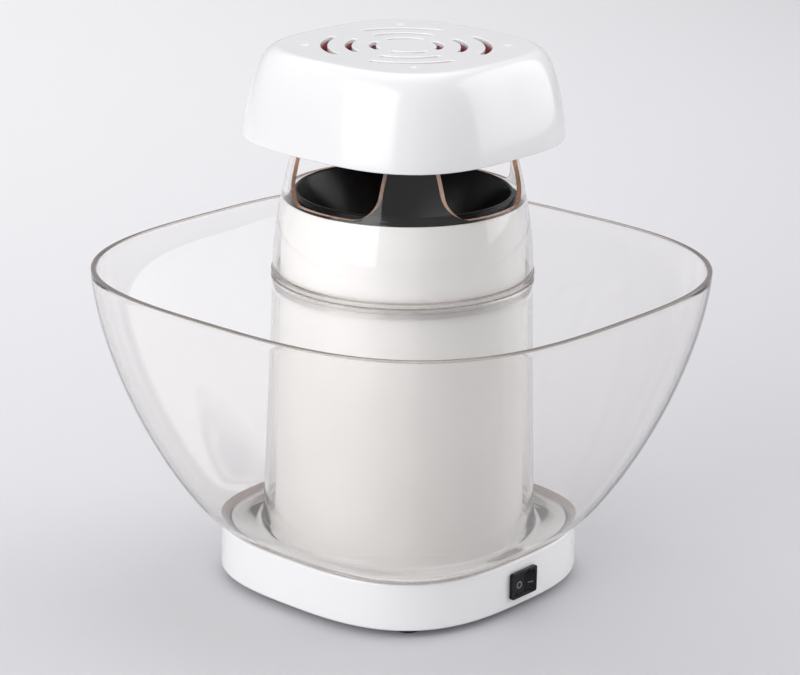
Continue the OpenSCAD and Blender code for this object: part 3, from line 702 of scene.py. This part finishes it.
def make_bowl():
    """Clear bowl with its flared wall, round rim, floor and central column."""
    obj = loft("clear_bowl", bowl_rings(), True)
    finish_piece(obj, "bowl", "clear_plastic", ["bowl"], ["clear_plastic", "painted_rim_glint"])
    # Faces at the foot's bend, the round rim and the seam bead's edges get slot 1, the painted glint colour.
    foot_rows = range(3, 7)
    for face in obj.data.polygons:
        z, r = face.center.z / MM, face.center.xy.length / MM
        at_foot = face.index // ROUND in foot_rows
        at_rim = z > BOWL_RIM_Z - BOWL_WALL / 2
        on_bead_edge = z > SEAM_Z - 0.5 or SEAM_Z - 2.75 < z < SEAM_Z - 2.38
        at_seam = TOWER_R - SEAM_BAND < r < TOWER_R + 1 and on_bead_edge
        face.material_index = 1 if at_foot or at_rim or at_seam else 0


def window_outline(y):
    """Outline of a window, its corners rounded, in the plane at that y."""
    points = []
    half = WINDOW_W / 2
    r = WINDOW_CORNER
    for cx, start in ((-half + r, 180), (half - r, 270)):
        for a in steps(math.radians(start), math.radians(start + 90), 14):
            points.append((cx + r * math.cos(a), y, WINDOW_SILL + r + r * math.sin(a)))
    r = WINDOW_TOP_CORNER
    for cx, start in ((half - r, 0), (-half + r, 90)):
        for a in steps(math.radians(start), math.radians(start + 90), 10):
            points.append((cx + r * math.cos(a), y, WINDOW_TOP - r + r * math.sin(a)))
    return points


def hood_rings():
    """Rings of the hood, from its spigot over the bead and up the outside, then down inside."""
    spigot_inner = SPIGOT_R - SPIGOT_WALL
    rings = [(spigot_inner, CIRCLE, SEAM_Z - SPIGOT_H), (SPIGOT_R - 0.3, CIRCLE, SEAM_Z - SPIGOT_H)]
    rings += [(SPIGOT_R, CIRCLE, SEAM_Z - SPIGOT_H + 0.4), (SPIGOT_R, CIRCLE, SEAM_Z + 0.1)]
    rings += [(SPIGOT_R + 0.2, CIRCLE, SEAM_Z + 0.3)]
    rings += arc(BEAD_CENTRE_R, SEAM_Z + 0.3 + SEAM_EDGE, SEAM_EDGE, -90, 0, 6, CIRCLE)
    rings += arc(BEAD_CENTRE_R, SEAM_Z + 2.8 - SEAM_EDGE, SEAM_EDGE, 0, 80, 6, CIRCLE)
    wall = steps(SEAM_Z + 3.4, HOOD_TOP - 0.6, 60)
    rings += [(hood_r(z), CIRCLE, z) for z in wall]
    rings += arc(hood_r(HOOD_TOP) - 0.8, HOOD_TOP - 0.7, 0.7, 20, 160, 5, CIRCLE)
    rings += [(hood_r(z) - hood_wall(z), CIRCLE, z) for z in reversed(wall)]
    rings += [(hood_r(SEAM_Z + 3) - HOOD_WALL - 0.3, CIRCLE, SEAM_Z + 2.6)]
    return rings + [(spigot_inner, CIRCLE, SEAM_Z + 1.2)]


def window_tools():
    """Cutters for the four windows; their material, the painted edge glint, marks the faces that they cut."""
    tools = []
    for quarter in range(4):
        bm = bmesh.new()
        prism(bm, window_outline, WINDOW_CUT)
        turn = Matrix.Rotation(quarter * math.pi / 2, 3, "Z")
        bmesh.ops.rotate(bm, verts=bm.verts, cent=(0, 0, 0), matrix=turn)
        tool = add_object("window_tool", bm)
        paint(tool, "clear_plastic", "painted_edge_glint")
        for face in tool.data.polygons:
            face.material_index = 1
        tools.append(tool)
    return tools


def make_hood():
    """Clear hood with its spigot, bead, tapering wall and four windows."""
    obj = loft("clear_hood", hood_rings(), True)
    paint(obj, "clear_plastic", "painted_edge_glint")
    cut(obj, window_tools(), keep_slots=True)
    smooth_by_angle(obj, 40)
    # Faces cut by the windows keep the painted edge glint; faces at the seam bead's edges get the painted rim
    # glint.
    cut_marks = [face.material_index for face in obj.data.polygons]
    finish_piece(obj, "hood", "clear_plastic", ["hood"], ["clear_plastic", "painted_edge_glint", "painted_rim_glint"])
    for face, mark in zip(obj.data.polygons, cut_marks):
        z, r = face.center.z / MM, face.center.xy.length / MM
        on_bead_edge = z < SEAM_Z + 0.6 or SEAM_Z + 2.5 < z < SEAM_Z + 3.3
        at_seam = r > TOWER_R - SEAM_BAND and on_bead_edge
        face.material_index = 2 if at_seam else mark


def make_lid():
    """White lid: flared sides, soft shoulder, flat top with steam slots and corner dimples."""
    height = LID_TOP - LID_BOTTOM
    inner_low = 0.6
    inner_height = height - LID_WALL - inner_low
    fractions = steps(0.0, 0.8, 22) + [1 - v for v in reversed(steps(0.0, 0.18, 26, 2.6))]
    rings = []
    for t in reversed(fractions):
        rings.append((lid_half_at(t) - LID_WALL, LID_N, LID_BOTTOM + inner_low + inner_height * t))
    rings += [(LID_HALF - LID_WALL + 0.3, LID_N, LID_BOTTOM + 0.1)]
    rings += arc(LID_HALF - LID_EDGE, LID_BOTTOM + LID_EDGE, LID_EDGE, -90, -6, 7, LID_N)
    rings += [(lid_half_at(t), LID_N, LID_BOTTOM + LID_EDGE + (height - LID_EDGE) * t) for t in fractions]
    obj = loft("white_lid", rings, False)
    dimple = [(0, LID_TOP - 0.7), (1.9, LID_TOP - 0.7), (2.15, LID_TOP - 0.5), (2.3, LID_TOP - 0.15)]
    dimple += [(2.6, LID_TOP + 0.1), (0, LID_TOP + 0.1)]
    cut(obj, slot_tools(LID_TOP, 6) + corner_tools("dimple_tool", dimple, 40))
    smooth_by_angle(obj, 40)
    keep_flats_flat(obj)
    finish_piece(obj, "lid", "white_plastic", ["lid_cover"])


def make_lid_bosses():
    """Four bosses inside the lid, where the liner's screws go in."""
    bm = bmesh.new()
    boss_top = LID_TOP - 3
    for x, y in lid_corners():
        turned(bm, [(0, BOSS_LOW_Z), (3.0, BOSS_LOW_Z), (3.5, boss_top), (0, boss_top)], 32, x, y)
    obj = add_object("lid_bosses", bm)
    smooth_by_angle(obj, 40)
    finish_piece(obj, "lid", "white_plastic")


def make_liner():
    """Red liner under the lid: skirt in the hood, flange on the bosses, dome and a slotted top plate."""
    flange, flange_r, plate = LINER_FLANGE_Z, liner_high.x, LINER_TOP - LINER_PLATE
    skirt_r = hood_r(HOOD_TOP) - HOOD_WALL - 0.6
    profile = [(0, LINER_TOP), (LINER_PLATE_R - 0.5, LINER_TOP), (LINER_PLATE_R, LINER_TOP - 0.5)]
    profile += [(LINER_PLATE_R, plate), (DOME_R, plate), (DOME_R + 2.2, flange + LINER_WALL)]
    profile += [(flange_r, flange + LINER_WALL), (flange_r, flange), (skirt_r, flange)]
    profile += [(skirt_r, liner_low.z), (skirt_r - 1.6, liner_low.z), (skirt_r - 1.6, flange - 1)]
    profile += [(DOME_R + 0.6, flange)]
    profile += [(DOME_R - 1.6, plate), (0, plate)]
    bm = bmesh.new()
    turned(bm, profile, 96)
    obj = add_object("red_liner", bm)
    hole = [(0, flange - 1), (SCREW_HEAD_R, flange - 1), (SCREW_HEAD_R, flange), (SCREW_R, flange + 1.4)]
    hole += [(SCREW_R, flange + 4), (0, flange + 4)]
    cut(obj, slot_tools(LINER_TOP, 5) + corner_tools("screw_tool", hole, 32))
    smooth_by_angle(obj, 35)
    finish_piece(obj, "lid", "red_plastic", ["lid_liner"])


def ring_mark(bm, outer, inner):
    """Flat ring in the XZ plane."""
    count, y = 48, MARK_THICK / 2
    rows = []
    for r, side in ((outer, -y), (outer, y), (inner, y), (inner, -y)):
        row = []
        for i in range(count):
            a = 2 * math.pi * i / count
            row.append(bm.verts.new((r * math.cos(a), side, r * math.sin(a))))
        rows.append(row)
    for a, b in zip(rows, rows[1:] + rows[:1]):
        bridge(bm, a, b)


def make_marks():
    """Circle and bar on the rocker's two faces, as thin paint."""
    joint = next(j for j in frame["joints"] if j["name"] == "rocker_tilt")
    turn = Matrix.Rotation(math.radians(ROCKER_TURN), 4, "Z")
    pivot = Matrix.Translation(Vector(joint["pos_m"]) / MM) @ turn
    slope = math.atan2(ROCKER_FALL, ROCKER_FACE)
    for name, side in (("mark_off", -1), ("mark_on", 1)):
        bm = bmesh.new()
        if side < 0:
            ring_mark(bm, *CIRCLE_MARK)
        else:
            bmesh.ops.create_cube(bm, size=1, matrix=box_matrix((0, 0, 0), BAR_MARK))
        place = Matrix.Translation((side * MARK_AT, -MARK_OUT - ROCKER_FALL * MARK_AT / ROCKER_FACE, 0))
        lean = Matrix.Rotation(-side * slope, 4, "Z")
        bmesh.ops.transform(bm, verts=bm.verts, matrix=pivot @ place @ lean)
        obj = add_object(name, bm, smooth=False)
        smooth_by_angle(obj, 30)
        finish_piece(obj, "rocker", "black_plastic", materials=["mark_paint"])


# ---------------------------------------------------------------- CAD nodes that stay

ROUNDED_EDGES = {"switch_body": 0.35, "switch_rocker": 0.35, "noise_capacitor": 0.4, "rectifier_board": 0.1}


def dress_cad_nodes():
    """Gives every CAD node its procedural finish and smooth shading, and the few in ROUNDED_EDGES slightly rounded
    edges.
    """
    finishes = {row["node"]: row["material_slot"] for row in frame["record"]["subparts"]}
    finishes["housing_column"] = "satin_white"
    for name, obj in NODES.items():
        paint(obj, finishes[name])
        smooth_by_angle(obj, 35)
        if name in ROUNDED_EDGES:
            bevel = obj.modifiers.new("edge", "BEVEL")
            bevel.width = ROUNDED_EDGES[name] * MM
            bevel.segments = 3
            bevel.limit_method = "ANGLE"
            bevel.angle_limit = math.radians(35)


# ---------------------------------------------------------------- camera, light and floor

CAMERA_AZIMUTH = -48.86
CAMERA_ELEVATION = 17.44
CAMERA_ROLL = 0.93
CAMERA_DISTANCE = 1.5517
CAMERA_TARGET = Vector((0, 0, 0.150))
CAMERA_LENS = 127.2
CAMERA_SHIFT = (-0.0025, -0.0299)
LAMP_SPREAD = 110
BACK_FLOOR = Vector((1.0, 1.3, 0))
WORLD_BELOW = (0.46, 0.46, 0.47)
WORLD_ABOVE = (0.6, 0.6, 0.615)
FLOOR_SIZE = 9000
# Painted shade and light on the floor: its colour goes from darker in front to paler far behind, along a slightly
# turned direction.
FLOOR_NEAR_PAINTED_SHADE = (0.585, 0.58, 0.607)
FLOOR_FAR_PAINTED_LIGHT = (0.915, 0.91, 0.923)
FLOOR_PAINTED_LIGHT_TURN = -9
FLOOR_PAINTED_LIGHT_REACH = (-0.3, 1.3)


def direction(azimuth, elevation):
    """Unit vector from the object towards a place, with azimuth 0 in front of the switch side."""
    a, e = math.radians(azimuth), math.radians(elevation)
    return Vector((math.sin(a) * math.cos(e), -math.cos(a) * math.cos(e), math.sin(e)))


def make_camera():
    """Camera of the photograph: long lens, a little above the rim, level apart from a slight roll."""
    data = bpy.data.cameras.new("camera")
    data.lens = CAMERA_LENS
    data.sensor_width = 36
    data.shift_x, data.shift_y = CAMERA_SHIFT
    camera = bpy.data.objects.new("camera", data)
    bpy.context.scene.collection.objects.link(camera)
    back = direction(CAMERA_AZIMUTH, CAMERA_ELEVATION)
    camera.location = CAMERA_TARGET + back * CAMERA_DISTANCE
    roll = Matrix.Rotation(math.radians(CAMERA_ROLL), 3, "Z")
    camera.rotation_euler = ((-back).to_track_quat("-Z", "Y").to_matrix() @ roll).to_euler()
    bpy.context.scene.camera = camera


def softbox(name, azimuth, elevation, distance, size, power, target=CAMERA_TARGET):
    """Soft rectangular lamp seen from the object at a direction, its azimuth counted from the camera's."""
    data = bpy.data.lights.new(name, "AREA")
    data.shape = "RECTANGLE"
    data.size, data.size_y = size
    data.energy = power
    data.spread = math.radians(LAMP_SPREAD)
    lamp = bpy.data.objects.new(name, data)
    bpy.context.scene.collection.objects.link(lamp)
    back = direction(CAMERA_AZIMUTH + azimuth, elevation)
    lamp.location = CAMERA_TARGET + back * distance
    lamp.rotation_euler = (target - lamp.location).to_track_quat("-Z", "Y").to_euler()
    lamp.visible_camera = False


def make_light():
    """Bright studio: a large softbox on each side, weak ones above and for the floor behind, pale world."""
    softbox("key_left", azimuth=-46, elevation=21, distance=2.2, size=(2.05, 1.95), power=12.6)
    softbox("fill_right", azimuth=105, elevation=21, distance=2.3, size=(2.2, 2.0), power=10)
    softbox("top", azimuth=180, elevation=78, distance=1.7, size=(1.8, 1.8), power=3.3)
    softbox("back_wash", azimuth=195, elevation=42, distance=2.4, size=(2, 2), power=6.1, target=BACK_FLOOR)
    world = bpy.data.worlds.new("studio")
    world.use_nodes = True
    nodes, links = world.node_tree.nodes, world.node_tree.links
    split = nodes.new("ShaderNodeSeparateXYZ")
    links.new(nodes.new("ShaderNodeTexCoord").outputs["Generated"], split.inputs[0])
    ramp = nodes.new("ShaderNodeValToRGB")
    for element, colour in zip(ramp.color_ramp.elements, (WORLD_BELOW, WORLD_ABOVE)):
        element.color = (*colour, 1)
    links.new(split.outputs["Z"], ramp.inputs[0])
    links.new(ramp.outputs[0], nodes["Background"].inputs[0])
    bpy.context.scene.world = world
    bpy.context.scene.view_settings.view_transform = "Standard"


def make_floor():
    """Plain floor that fills the view, with painted light and shade: grey in front and paler towards the back."""
    bm = bmesh.new()
    bmesh.ops.create_grid(bm, x_segments=8, y_segments=8, size=FLOOR_SIZE)
    floor = add_object("floor", bm)
    s = Shader("floor_paper_painted_light")
    turn = s.nodes.new("ShaderNodeMapping")
    turn.inputs["Rotation"].default_value = (0, 0, math.radians(FLOOR_PAINTED_LIGHT_TURN))
    s.links.new(s.place, turn.inputs["Vector"])
    split = s.nodes.new("ShaderNodeSeparateXYZ")
    s.links.new(turn.outputs[0], split.inputs[0])
    # Painted light: the floor's colour fades from the painted shade in front to the painted light behind.
    painted_light = s.remap(split.outputs["Y"], FLOOR_PAINTED_LIGHT_REACH, (0.0, 1.0))
    s.colour(s.ramp(painted_light, FLOOR_NEAR_PAINTED_SHADE, FLOOR_FAR_PAINTED_LIGHT, (0.0, 1.0)))
    s.roughness(s.spread(s.noise(30), 0.55, 0.65))
    floor.data.materials.append(s.material)


make_camera()
make_light()
make_floor()
dress_cad_nodes()
make_base()
make_bowl()
make_hood()
make_lid()
make_lid_bosses()
make_liner()
make_marks()
